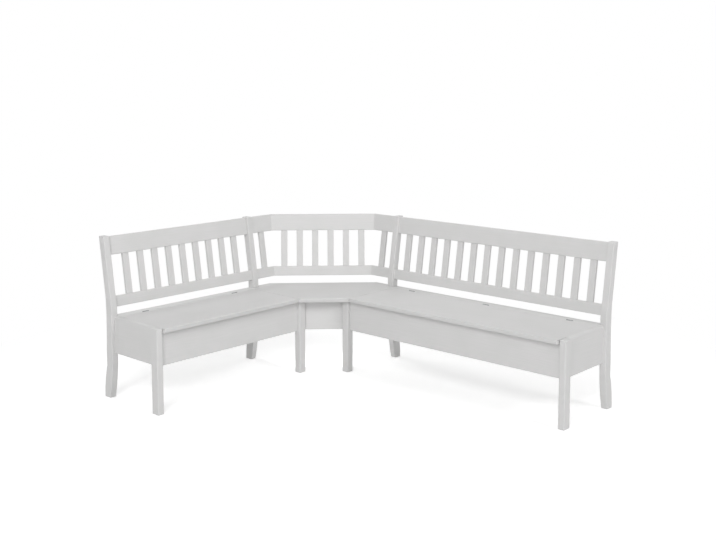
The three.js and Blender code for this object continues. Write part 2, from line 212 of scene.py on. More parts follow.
@dataclass(frozen=True)
class SatinLacquer:
    """White satin lacquer, sprayed and flatted on close-grained beech.

    It gives the eye one even, neutral white with a soft sheen. The fibres below print through as
    long faint streaks along each board, and the spray leaves a fine orange peel.
    """

    grain: Grain
    # The two tones, each with its stop on the ramp from the streaks' hollows to their crests
    hollow: tuple[float, str] = (0.12, "#D6D6D5")
    crest: tuple[float, str] = (0.42, "#DBDADA")
    ior: float = 1.46
    roughness: tuple[float, float] = (0.46, 0.56)
    cloud_size: float = 0.160
    cloud_detail: float = 2.0
    # Beech fibres are under a millimetre wide, so the streaks are drawn 5 mm wide to show at all
    streak_width: float = 0.005
    streak_length: float = 0.180
    streak_detail: float = 3.0
    streak_relief: float = 0.00004
    # Orange peel is about 1.5 mm from crest to crest
    peel_size: float = 0.0015
    peel_detail: float = 1.0
    peel_relief: float = 0.00001

    def build(self) -> bpy.types.Material:
        """Builds the lacquer's material for boards of one grain direction.

        Returns:
            The finished material.
        """
        material, tree = new_material(f"satin_white_lacquer_{self.grain.name.lower()}")
        streaks = draw_streaks(tree, self.grain, self.streak_length, self.streak_width, self.streak_detail)
        place = add_node(tree, "ShaderNodeTexCoord").outputs["Object"]
        cloud_inputs = {"Vector": place, "Scale": 1 / self.cloud_size, "Detail": self.cloud_detail}
        clouds = add_node(tree, "ShaderNodeTexNoise", cloud_inputs).outputs["Fac"]
        peel_inputs = {"Vector": place, "Scale": 1 / self.peel_size, "Detail": self.peel_detail}
        peel = add_node(tree, "ShaderNodeTexNoise", peel_inputs).outputs["Fac"]
        mottle = add_node(tree, "ShaderNodeMath", {0: streaks, 1: clouds}, operation="MULTIPLY")
        tint = add_node(tree, "ShaderNodeValToRGB", {"Fac": mottle.outputs["Value"]})
        for element, (stop, tone) in zip(tint.color_ramp.elements, (self.hollow, self.crest)):
            element.position, element.color = stop, hex_to_linear(tone)
        dull, duller = self.roughness
        sheen = add_node(tree, "ShaderNodeMapRange", {"Value": clouds, "To Min": dull, "To Max": duller})
        fibres = add_node(
            tree, "ShaderNodeBump", {"Height": streaks, "Distance": self.streak_relief, "Strength": 1.0}
        )
        skin = add_node(
            tree,
            "ShaderNodeBump",
            {
                "Height": peel,
                "Distance": self.peel_relief,
                "Strength": 1.0,
                "Normal": fibres.outputs["Normal"],
            },
        )
        shader = add_node(
            tree,
            "ShaderNodeBsdfPrincipled",
            {
                "Base Color": tint.outputs["Color"],
                "Roughness": sheen.outputs["Result"],
                "IOR": self.ior,
                "Normal": skin.outputs["Normal"],
            },
        )
        add_node(tree, "ShaderNodeOutputMaterial", {"Surface": shader.outputs["BSDF"]})
        return material


@dataclass(frozen=True)
class ZincPlatedSteel:
    """Rolled hinge steel, zinc plated and tumbled.

    It gives the eye a cool dull grey metal, darker than the paint, with fine lines along the rolled
    knuckles and a blotchy bloom where the plating lies thicker.
    """

    # The two tones, each with its stop on the ramp from clear plating to the thickest bloom
    bright: tuple[float, str] = (0.35, "#A4A6A7")
    bloomed: tuple[float, str] = (0.70, "#85888A")
    roughness: tuple[float, float] = (0.28, 0.48)
    bloom_size: float = 0.009
    bloom_detail: float = 3.0
    # Drawing lines are some 0.2 mm apart and are drawn at 0.6 mm to show on a 7 mm knuckle
    line_width: float = 0.0006
    line_length: float = 0.030
    line_detail: float = 2.0
    line_relief: float = 0.00001

    def build(self, grain: Grain) -> bpy.types.Material:
        """Builds the steel's material for hinges that lie along one bench.

        Args:
            grain: The direction of the rolled lines.

        Returns:
            The finished material.
        """
        material, tree = new_material(f"zinc_plated_steel_{grain.name.lower()}")
        lines = draw_streaks(tree, grain, self.line_length, self.line_width, self.line_detail)
        place = add_node(tree, "ShaderNodeTexCoord").outputs["Object"]
        bloom_inputs = {"Vector": place, "Scale": 1 / self.bloom_size, "Detail": self.bloom_detail}
        bloom = add_node(tree, "ShaderNodeTexNoise", bloom_inputs)
        tint = add_node(tree, "ShaderNodeValToRGB", {"Fac": bloom.outputs["Fac"]})
        for element, (stop, tone) in zip(tint.color_ramp.elements, (self.bright, self.bloomed)):
            element.position, element.color = stop, hex_to_linear(tone)
        bright, dull = self.roughness
        polish = add_node(tree, "ShaderNodeMapRange", {"Value": lines, "To Min": bright, "To Max": dull})
        relief = add_node(
            tree, "ShaderNodeBump", {"Height": lines, "Distance": self.line_relief, "Strength": 1.0}
        )
        shader = add_node(
            tree,
            "ShaderNodeBsdfPrincipled",
            {
                "Base Color": tint.outputs["Color"],
                "Metallic": 1.0,
                "Roughness": polish.outputs["Result"],
                "Normal": relief.outputs["Normal"],
            },
        )
        add_node(tree, "ShaderNodeOutputMaterial", {"Surface": shader.outputs["BSDF"]})
        return material


def deselect_everything() -> None:
    """Goes back to object mode and selects nothing."""
    if bpy.context.mode != "OBJECT":
        bpy.ops.object.mode_set(mode="OBJECT")
    bpy.ops.object.select_all(action="DESELECT")


def select_only(*pieces: bpy.types.Object) -> None:
    """Selects these pieces and makes the first one active.

    Args:
        pieces: The objects to select.
    """
    deselect_everything()
    for piece in pieces:
        piece.select_set(True)
    bpy.context.view_layer.objects.active = pieces[0]


@contextmanager
def editing(
    piece: bpy.types.Object, picking: Picking, test: EdgeTest | FaceTest | None = None
) -> Iterator[None]:
    """Opens a piece in edit mode with its wanted edges or faces selected, and closes it again.

    Args:
        piece: The mesh object to edit.
        picking: Whether edges or faces are picked, or all of it.
        test: Takes an edge or a face, and says whether it is wanted.

    Yields:
        Nothing, while the piece is open.
    """
    select_only(piece)
    bpy.ops.object.mode_set(mode="EDIT")
    mode, start = picking.value
    bpy.ops.mesh.select_mode(type=mode)
    bpy.ops.mesh.select_all(action=start)
    if test:
        mesh = bmesh.from_edit_mesh(piece.data)
        parts = mesh.edges if picking is Picking.EDGES else mesh.faces
        for part in filter(test, parts):
            part.select_set(True)
    yield
    bpy.ops.object.mode_set(mode="OBJECT")


def runs_along(axis: Axis) -> EdgeTest:
    """Makes a test for edges that run along a direction.

    Args:
        axis: The direction.

    Returns:
        The test.
    """
    across = [place for place in range(3) if place != axis.value]

    def test(edge: bmesh.types.BMEdge) -> bool:
        """Whether both ends of the edge share the two other coordinates."""
        first, last = (vertex.co for vertex in edge.verts)
        return all(abs(first[place] - last[place]) < TOUCH for place in across)

    return test


def lies_at(axis: Axis, value: float) -> EdgeTest:
    """A test for edges whose two ends both lie in one plane across a direction."""
    return lambda edge: all(abs(vertex.co[axis.value] - value) < TOUCH for vertex in edge.verts)


def lies_near(point: Vector, normal: Vector, slack: float = TOUCH) -> EdgeTest:
    """A test for edges whose two ends both lie near a plane, which a point and its normal give."""
    return lambda edge: all(abs((vertex.co - point).dot(normal)) < slack for vertex in edge.verts)


def longer_than(length: float) -> EdgeTest:
    """A test for edges that are longer than this."""
    return lambda edge: edge.calc_length() > length


def is_not(test: EdgeTest) -> EdgeTest:
    """A test for edges that fail this one."""
    return lambda edge: not test(edge)


def all_of(*tests: EdgeTest) -> EdgeTest:
    """A test for edges that pass every one of these."""
    return lambda edge: all(test(edge) for test in tests)


def any_of(*tests: EdgeTest) -> EdgeTest:
    """A test for edges that pass at least one of these."""
    return lambda edge: any(test(edge) for test in tests)


def settle(name: str) -> bpy.types.Object:
    """Names the piece that was just added or copied, and puts its place in its mesh.

    Args:
        name: The name of the piece.

    Returns:
        The piece, its object at the origin.
    """
    piece = bpy.context.active_object
    piece.name = name
    piece.data.name = name
    bpy.ops.object.transform_apply(location=True, rotation=True, scale=True)
    return piece


def add_block(name: str, low: Sequence[float], high: Sequence[float]) -> bpy.types.Object:
    """Adds a rough-sawn block between two corners, as the start of a piece.

    Args:
        name: The name of the piece.
        low: The block's lowest corner.
        high: The block's highest corner.

    Returns:
        The block.
    """
    low, high = Vector(low), Vector(high)
    deselect_everything()
    bpy.ops.mesh.primitive_cube_add(size=1.0, location=(low + high) / 2)
    bpy.context.active_object.scale = high - low
    return settle(name)


def add_stock(node: str) -> tuple[bpy.types.Object, Vector, Vector]:
    """Adds the block that a node's painted piece is worked from, with its lowest and highest corner."""
    low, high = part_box(node)
    return add_block(f"painted_{node}", low, high), low, high


def set_in_place(piece: bpy.types.Object, place: Matrix) -> None:
    """Moves a piece from the frame it was modelled in, and puts its new place in its mesh.

    Args:
        piece: The piece, with its object at the origin.
        place: From its own frame to the row frame.
    """
    select_only(piece)
    piece.matrix_world = place
    bpy.ops.object.transform_apply(location=True, rotation=True, scale=True)


def copy_of(piece: bpy.types.Object, name: str) -> bpy.types.Object:
    """Copies a piece with a mesh of its own.

    Args:
        piece: The model for the copy.
        name: The copy's name.

    Returns:
        The copy.
    """
    select_only(piece)
    bpy.ops.object.duplicate(linked=False)
    return settle(name)


def break_edges(
    piece: bpy.types.Object, radius: float, test: EdgeTest, segments: int = ARRIS_SEGMENTS
) -> None:
    """Rounds over the edges that pass a test, each round made of a few flats."""
    with editing(piece, Picking.EDGES, test):
        bpy.ops.mesh.bevel(offset=radius, offset_type="OFFSET", segments=segments, affect="EDGES")


def saw(
    piece: bpy.types.Object, point: Sequence[float], normal: Sequence[float], waste: bool, close: bool = True
) -> None:
    """Cuts a piece with a plane.

    Args:
        piece: The piece to cut.
        point: A point of the plane.
        normal: The plane's normal, towards the side that may fall away.
        waste: Whether that side falls away. Otherwise the cut only marks a line all round.
        close: Whether the cut face is closed.
    """
    with editing(piece, Picking.EVERYTHING):
        fill = waste and close
        bpy.ops.mesh.bisect(
            plane_co=point, plane_no=normal, clear_outer=waste, use_fill=fill, threshold=SAW_PRECISION
        )


def merge(piece: bpy.types.Object, other: bpy.types.Object, how: Merge) -> None:
    """Joins a second solid to a piece, or takes it out of it, as one closed skin.

    Args:
        piece: The piece that stays.
        other: The second solid, which is removed afterwards.
        how: Whether it is joined or taken out.
    """
    select_only(piece)
    modifier = piece.modifiers.new("joined", "BOOLEAN")
    modifier.operation = how.value
    modifier.solver = "EXACT"
    modifier.object = other
    bpy.ops.object.modifier_apply(modifier=modifier.name)
    bpy.data.objects.remove(other)


def smooth(piece: bpy.types.Object) -> None:
    """Shades the rounded edges smooth and keeps the flats flat.

    Args:
        piece: The piece, with its shape final.
    """
    select_only(piece)
    bpy.ops.object.shade_smooth_by_angle(angle=SMOOTH_ANGLE)
    modifier = piece.modifiers.new("flats", "WEIGHTED_NORMAL")
    modifier.keep_sharp = True
    bpy.ops.object.modifier_apply(modifier=modifier.name)


def hand_over(piece: bpy.types.Object, node: str, body: str, material: bpy.types.Material) -> None:
    """Dresses a finished piece and ties it to the frame.

    Args:
        piece: The piece, in its place in the row frame.
        node: The frame's node that it stands for.
        body: The body that it moves with.
        material: Its finish.
    """
    smooth(piece)
    piece.data.materials.clear()
    piece.data.materials.append(material)
    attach(piece, body)
    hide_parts(node)
    LOG.info("%s: %d faces, rides on %s", piece.name, len(piece.data.polygons), body)


class Finishes:
    """The finishes of the bench, each built once, and the pieces' way to get them."""

    def __init__(self) -> None:
        """Builds the lacquer for each grain direction, and the hinge steel for both benches."""
        self.lacquer = {grain: SatinLacquer(grain).build() for grain in Grain}
        steel = ZincPlatedSteel()
        self.steel = {
            grain: steel.build(grain) for grain in (Grain.ALONG_LONG_BENCH, Grain.ALONG_SHORT_BENCH)
        }

    def paint(self, piece: bpy.types.Object, grain: Grain, node: str, body: str = BENCH_BODY) -> None:
        """Hands over a piece of painted wood, with its fibres along this grain."""
        hand_over(piece, node, body, self.lacquer[grain])

    def plate(self, piece: bpy.types.Object, grain: Grain, node: str, body: str) -> None:
        """Hands over a piece of plated steel, with its rolled lines along this grain."""
        hand_over(piece, node, body, self.steel[grain])


def corner_point() -> Vector:
    """The floor point where the rear planes of both benches meet, read off the long outer leg."""
    low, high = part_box("long_outer_front_leg")
    return Vector((high.x - LONG_LENGTH, low.y + FRONT_LEG_PLANE, 0.0))


def inner_and_outer(low: Vector, high: Vector, axis: Axis) -> list[float]:
    """The two ends of a box along a direction, the one nearer to the corner first."""
    corner = corner_point()[axis.value]
    return sorted((low[axis.value], high[axis.value]), key=lambda place: abs(place - corner))


def back_frame(depth: float, base: float) -> Matrix:
    """The leaning frame of a back, from its lower rail's bottom rear edge."""
    return Matrix.Translation((0.0, -depth, base)) @ Matrix.Rotation(-RAKE, 4, "X")


def diagonal_frame() -> Matrix:
    """From a frame whose x runs across the corner's diagonal to the row frame."""
    return Matrix.Translation(corner_point()) @ Matrix.Rotation(DIAGONAL_TURN, 4, "Z")


def spread(first: float, last: float, count: int) -> list[float]:
    """Spaces places evenly.

    Args:
        first: The first place.
        last: The last place.
        count: How many there are. A single one lies midway.

    Returns:
        The places, from the first to the last.
    """
    if count == 1:
        return [(first + last) / 2]
    return [first + place * (last - first) / (count - 1) for place in range(count)]


@dataclass(frozen=True)
class Run:
    """One straight bench, and where its own frame stands in the row frame."""

    name: str
    # 1 where the bench runs along its own frame's x, and -1 where it runs against it
    hand: int
    turn: float
    length: float
    grain: Grain
    lid_body: str
    slats: int
    slat_end_gap: float
    hinges: int

    @property
    def outer_frame(self) -> float:
        """Distance from the corner to the inner side of the outer leg and post."""
        return self.length - OUTER_LEG_WIDTH

    @property
    def along(self) -> Axis:
        """The row frame's direction that the bench's long boards run in."""
        return Axis.X if self.grain is Grain.ALONG_LONG_BENCH else Axis.Y

    @property
    def across(self) -> Axis:
        """The level direction square to the long boards."""
        return Axis.Y if self.along is Axis.X else Axis.X

    @property
    def cross_grain(self) -> Grain:
        """The direction of the fibres in boards that stand across the bench."""
        return Grain.ALONG_SHORT_BENCH if self.along is Axis.X else Grain.ALONG_LONG_BENCH

    def place(self) -> Matrix:
        """From the bench's own frame to the row frame."""
        return Matrix.Translation(corner_point()) @ Matrix.Rotation(self.turn, 4, "Z")

    def span(self, near: float, far: float) -> tuple[float, float]:
        """Turns two distances from the corner to a span in x, lowest first."""
        return min(self.hand * near, self.hand * far), max(self.hand * near, self.hand * far)


@dataclass(frozen=True)
class FrontLegs:
    """The two square front legs of a bench, with generously rounded corners."""

    run: Run
    corner_radius: float = 0.0055
    foot_radius: float = 0.002

    def build(self, finishes: Finishes) -> None:
        """Builds both legs of the bench.

        Args:
            finishes: The bench's finishes.
        """
        for name in ("outer_front_leg", "inner_front_leg"):
            node = f"{self.run.name}_{name}"
            leg, low, high = add_stock(node)
            break_edges(leg, self.corner_radius, any_of(runs_along(Axis.Z), lies_at(Axis.Z, high.z)))
            break_edges(leg, self.foot_radius, lies_at(Axis.Z, low.z))
            finishes.paint(leg, Grain.UPRIGHT, node)


@dataclass(frozen=True)
class RearPosts:
    """The two rear posts of a bench: a foot that kicks back, a straight part and a raked top."""

    run: Run
    height: float = 0.896
    top_rear: float = -0.047
    top_depth: float = 0.046
    top_radius: float = 0.005
    arris_radius: float = 0.004
    foot_radius: float = 0.0015
    foot_kick: float = 0.025
    foot_depth: float = 0.050
    # Where the foot's curve ends, and the share of that height at which it turns
    rear_kick: tuple[float, float] = (0.180, 0.53)
    front_kick: tuple[float, float] = (0.215, 0.47)
    # The share of the post's depth at which the front's curve turns
    front_kick_share: float = 0.93
    # Where the curve into the raked top starts, turns and ends
    rear_knee: tuple[float, float, float] = (0.270, 0.500, 0.585)
    front_knee: tuple[float, float, float] = (SEAT_HEIGHT, 0.500, 0.585)
    front_knee_swell: float = 0.007
    curve_step: float = 0.016

    def rear_line(self, height: float) -> float:
        """The raked rear face's distance forward of the rear plane."""
        return self.top_rear + math.tan(RAKE) * (self.height - height)

    @staticmethod
    def curve(ends: Sequence[tuple[float, float]], height: float) -> float:
        """Reads a three-point curve at a height.

        Args:
            ends: The curve's start, turning point and end, each as depth and height.
            height: The height to read it at.

        Returns:
            The curve's depth there.
        """
        (d0, z0), (d1, z1), (d2, z2) = ends
        bend, rise = z0 - 2 * z1 + z2, 2 * (z1 - z0)
        if abs(bend) < TOUCH:
            share = (height - z0) / rise
        else:
            share = (math.sqrt(rise * rise - 4 * bend * (z0 - height)) - rise) / (2 * bend)
        return (1 - share) ** 2 * d0 + 2 * share * (1 - share) * d1 + share**2 * d2

    def rear(self, height: float) -> float:
        """Finds the post's rear edge.

        Args:
            height: The height above the floor.

        Returns:
            The edge's distance forward of the rear plane.
        """
        kick_height, kick_turn = self.rear_kick
        low, turn, high = self.rear_knee
        if height < kick_height:
            toe = -self.foot_kick
            return self.curve([(toe, 0.0), (toe, kick_height * kick_turn), (0.0, kick_height)], height)
        if height < low:
            return 0.0
        if height < high:
            knee = [(0.0, low), (self.rear_line(turn), turn), (self.rear_line(high), high)]
            return self.curve(knee, height)
        return self.rear_line(height)

    def front(self, height: float) -> float:
        """Finds the post's front edge.

        Args:
            height: The height above the floor.

        Returns:
            The edge's distance forward of the rear plane.
        """
        kick_height, kick_turn = self.front_kick
        low, turn, high = self.front_knee
        if height < kick_height:
            toe = self.foot_depth - self.foot_kick
            swell = (POST_DEPTH * self.front_kick_share, kick_height * kick_turn)
            return self.curve([(toe, 0.0), swell, (POST_DEPTH, kick_height)], height)
        if height < low:
            return POST_DEPTH
        if height < high:
            swell = self.rear_line(turn) + self.top_depth + self.front_knee_swell
            top = self.rear_line(high) + self.top_depth
            return self.curve([(POST_DEPTH, low), (swell, turn), (top, high)], height)
        return self.rear_line(height) + self.top_depth

    def stations(self) -> list[float]:
        """Chooses the heights at which the post is shaped, close together where it bends.

        Returns:
            The heights, from the floor to the top.
        """
        (rear_kick, _), (front_kick, _) = self.rear_kick, self.front_kick
        (rear_knee, _, knee_end), (front_knee, _, _) = self.rear_knee, self.front_knee
        marks = [0.0, rear_kick, front_kick, rear_knee, front_knee, knee_end, self.height]
        straight = {(front_kick, rear_knee), (knee_end, self.height)}
        heights = [0.0]
        for low, high in zip(marks, marks[1:]):
            count = 1 if (low, high) in straight else math.ceil((high - low) / self.curve_step)
            heights += [low + (high - low) * (place + 1) / count for place in range(count)]
        return heights

    def model(self) -> bpy.types.Object:
        """Shapes one post by extruding it upwards from its foot.

        Returns:
            The post, centred on its width.
        """
        foot, start, *rest = self.stations()
        half = POST_WIDTH / 2
        post = add_block("post", (-half, -self.front(foot), foot), (half, -self.rear(foot), start))
        with editing(post, Picking.FACES, lambda face: face.normal.z > FACING):
            self.fit_section(foot, start)
            for low, high in zip((start, *rest), rest):
                bpy.ops.mesh.extrude_region_move(TRANSFORM_OT_translate={"value": (0.0, 0.0, high - low)})
                self.fit_section(low, high)
        return post

    def fit_section(self, before: float, after: float) -> None:
        """Fits the selected top face to the post's outline.

        Args:
            before: The height whose section the face still has.
            after: The height at which it stands, whose section it gets.
        """
        old_rear, old_front = self.rear(before), self.front(before)
        new_rear, new_front = self.rear(after), self.front(after)
        middle = (0.0, -(old_rear + old_front) / 2, after)
        growth = (new_front - new_rear) / (old_front - old_rear)
        bpy.ops.transform.resize(value=(1.0, growth, 1.0), center_override=middle)
        shift = (old_rear + old_front - new_rear - new_front) / 2
        bpy.ops.transform.translate(value=(0.0, shift, 0.0))

    def build(self, finishes: Finishes) -> None:
        """Builds the outer and the inner post of the bench.

        Args:
            finishes: The bench's finishes.
        """
        model, half = self.model(), POST_WIDTH / 2
        top_ends = all_of(lies_at(Axis.Z, self.height), runs_along(Axis.X))
        break_edges(model, self.top_radius, top_ends, WIDE_ROUND_SEGMENTS)
        at_foot = lies_at(Axis.Z, 0.0)
        on_sides = any_of(lies_at(Axis.X, -half), lies_at(Axis.X, half))
        break_edges(model, self.arris_radius, all_of(on_sides, is_not(at_foot)))
        break_edges(model, self.foot_radius, at_foot, FINE_ARRIS_SEGMENTS)
        places = {"outer_rear_post": self.run.outer_frame + half, "inner_rear_post": FRAME_REACH - half}
        for name, distance in places.items():
            node = f"{self.run.name}_{name}"
            post = copy_of(model, f"painted_{node}")
            set_in_place(post, self.run.place() @ Matrix.Translation((self.run.hand * distance, 0.0, 0.0)))
            finishes.paint(post, Grain.UPRIGHT, node)
        bpy.data.objects.remove(model)


@dataclass(frozen=True)
class Chest:
    """The panels and the bottom board of one bench's chest."""

    run: Run
    arris_radius: float = 0.0025
    bare_top_radius: float = 0.012
    groove_depth: float = 0.006
    groove_slack: float = 0.0003

    def build(self, finishes: Finishes) -> None:
        """Builds the four panels and the bottom board.

        Args:
            finishes: The bench's finishes.
        """
        for name in ("front_panel", "rear_panel"):
            self.grooved_panel(name, finishes)
        self.plain_board("inner_end_panel", finishes, crosswise=True)
        self.plain_board("outer_end_panel", finishes, crosswise=True, bare_top=True)
        self.plain_board("chest_bottom", finishes, crosswise=False)

    def plain_board(self, name: str, finishes: Finishes, crosswise: bool, bare_top: bool = False) -> None:
        """Builds a board with square ends and its long edges rounded.

        Args:
            name: The node's name after the bench's.
            finishes: The bench's finishes.
            crosswise: Whether it stands across the bench.
            bare_top: Whether its top edge away from the corner shows, and is rounded in full.
        """
        run = self.run
        length_axis, side_axis = (run.across, run.along) if crosswise else (run.along, run.across)
        node = f"{run.name}_{name}"
        board, low, high = add_stock(node)
        along, at_top, at_foot = runs_along(length_axis), lies_at(Axis.Z, high.z), lies_at(Axis.Z, low.z)
        at_inner, at_outer = (lies_at(side_axis, place) for place in inner_and_outer(low, high, side_axis))
        if bare_top:
            break_edges(board, self.bare_top_radius, all_of(along, at_top, at_outer))
        arrises = all_of(along, any_of(at_inner, at_outer), any_of(at_foot, at_top))
        break_edges(board, self.arris_radius, arrises)
        finishes.paint(board, run.cross_grain if crosswise else run.grain, node)

    def grooved_panel(self, name: str, finishes: Finishes) -> None:
        """Builds a long panel with the groove that holds the chest bottom.

        Args:
            name: The node's name after the bench's.
            finishes: The bench's finishes.
        """
        run = self.run
        node = f"{run.name}_{name}"
        panel, low, high = add_stock(node)
        bottom_low, bottom_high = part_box(f"{run.name}_chest_bottom")
        break_edges(panel, self.arris_radius, runs_along(run.along))
        for height in (bottom_low.z - self.groove_slack, bottom_high.z + self.groove_slack):
            saw(panel, (0.0, 0.0, height), (0.0, 0.0, 1.0), waste=False)
        inward = (bottom_low + bottom_high - low - high)[run.across.value]
        towards_chest = run.across.vector() * math.copysign(1.0, inward)

        def in_groove(face: bmesh.types.BMFace) -> bool:
            """Whether the face looks into the chest from between the two marked lines."""
            between = bottom_low.z - TOUCH < face.calc_center_median().z < bottom_high.z + TOUCH
            return between and face.normal.dot(towards_chest) > FACING

        with editing(panel, Picking.FACES, in_groove):
            sink = {"value": -self.groove_depth * towards_chest}
            bpy.ops.mesh.extrude_region_move(TRANSFORM_OT_translate=sink)
        finishes.paint(panel, run.grain, node)


@dataclass(frozen=True)
class HingeSizes:
    """The sizes of one small butt hinge, closed, with its pin at the seat's height."""

    length: float = 0.040
    inner_inset: float = 0.150
    outer_inset: float = 0.170
    knuckles: int = 3
    knuckle_radius: float = 0.0035
    knuckle_clearance: float = 0.0006
    side_gap: float = 0.00025
    knuckle_arris: float = 0.0004
    pin_radius: float = 0.0015
    pin_clearance: float = 0.00008
    leaf_thickness: float = 0.0012
    leaf_height: float = 0.014
    leaf_corner: float = 0.002
    leaves_gap: float = 0.0006
    screw_head_radius: float = 0.0027
    screw_bore_slack: float = 0.00008
    screw_spacing: float = 0.0135
    screw_slot: float = 0.0008
    screw_slot_depth: float = 0.0007
    screw_slot_share: float = 0.6
    screw_rise: float = 0.0001
    cut_overrun: float = 0.005
    bar_sides: int = 32

    @property
    def knuckle(self) -> float:
        """Length of one knuckle."""
        return self.length / self.knuckles

    @property
    def leaf_top(self) -> float:
        """Height of a leaf's plate, from the pin down."""
        return -self.knuckle_radius - self.knuckle_clearance

    @property
    def screw_places(self) -> list[tuple[float, float]]:
        """The screws' places along the leaf, and their height from the pin."""
        height = self.leaf_top - self.leaf_height / 2
        return [(place, height) for place in (-self.screw_spacing, 0.0, self.screw_spacing)]


@dataclass(frozen=True)
class SeatFront:
    """The worked front of a seat board: leant back under its top edge, crisp above and round below."""

    undercut: float = 0.007
    top_radius: float = 0.003
    low_radius: float = 0.005

    @property
    def reach(self) -> float:
        """How far behind the top edge the worked front ends."""
        return self.undercut + self.low_radius + TOUCH

    def work(self, board: bpy.types.Object, edge_point: Vector, front: Vector, thickness: float) -> None:
        """Saws the front face to its lean, and rounds its two long edges.

        Args:
            board: The seat board, its front still square.
            edge_point: A point of its upper front edge.
            front: The direction that its front faces.
            thickness: The board's thickness.
        """
        up = Axis.Z.vector()
        saw(board, edge_point, (front * thickness - up * self.undercut).normalized(), waste=True)
        foot_point = edge_point - front * self.undercut - up * thickness
        for place, radius in ((edge_point, self.top_radius), (foot_point, self.low_radius)):
            break_edges(board, radius, all_of(lies_near(place, front), lies_at(Axis.Z, place.z)))


@dataclass(frozen=True)
class SeatBoards:
    """The hinged lid of a bench, and the fixed strip behind it."""

    run: Run
    hinge: HingeSizes
    seat_joint: float = 0.690
    strip_front: float = 0.077
    hinge_seam: float = 0.0032
    front: SeatFront = SeatFront()
    arris_radius: float = 0.002
    outer_end_radius: float = 0.0035

    @property
    def hinge_depth(self) -> float:
        """Distance of the hinge pins forward of the rear plane."""
        return self.strip_front + self.hinge_seam / 2

    def hinge_places(self) -> list[float]:
        """Distances of the hinges' middles from the corner."""
        first, last = self.seat_joint + self.hinge.inner_inset, self.run.outer_frame - self.hinge.outer_inset
        return spread(first, last, self.run.hinges)

    def build(self, finishes: Finishes) -> None:
        """Builds the lid and the strip, each let in for the hinges.

        Args:
            finishes: The bench's finishes.
        """
        run = self.run
        for name, body in (("lid", run.lid_body), ("rear_seat_strip", BENCH_BODY)):
            node = f"{run.name}_{name}"
            board, low, high = add_stock(node)
            if name == "lid":
                self.round_lid(board, low, high)
            else:
                break_edges(board, self.arris_radius, runs_along(run.along))
            inner, outer = inner_and_outer(low, high, run.along)
            break_edges(board, self.arris_radius, lies_at(run.along, inner))
            break_edges(board, self.outer_end_radius, lies_at(run.along, outer))
            self.let_in_hinges(board)
            finishes.paint(board, run.grain, node, body)

    def round_lid(self, lid: bpy.types.Object, low: Vector, high: Vector) -> None:
        """Works a lid's front, and takes the sharpness off its long rear edges.

        Args:
            lid: The lid.
            low: Its lowest corner.
            high: Its highest corner.
        """
        if self.run.along is Axis.X:
            at_rear, front, edge_point = lies_at(Axis.Y, high.y), Vector((0.0, -1.0, 0.0)), low.copy()
        else:
            at_rear, front, edge_point = lies_at(Axis.X, low.x), Vector((1.0, 0.0, 0.0)), high.copy()
        edge_point.z = high.z
        self.front.work(lid, edge_point, front, high.z - low.z)
        break_edges(lid, self.arris_radius, all_of(runs_along(self.run.along), at_rear))

    def let_in_hinges(self, board: bpy.types.Object) -> None:
        """Takes a square channel for the knuckles out of a board at each hinge.

        Args:
            board: The lid or the strip.
        """
        reach = self.hinge.knuckle_radius + self.hinge.knuckle_clearance
        half = self.hinge.length / 2 + self.hinge.knuckle_clearance
        for distance in self.hinge_places():
            middle = self.run.hand * distance
            cutter = add_block(
                "channel",
                (middle - half, -self.hinge_depth - reach, SEAT_HEIGHT - reach),
                (middle + half, -self.hinge_depth + reach, SEAT_HEIGHT + self.hinge.cut_overrun),
            )
            set_in_place(cutter, self.run.place())
            merge(board, cutter, Merge.CUT)


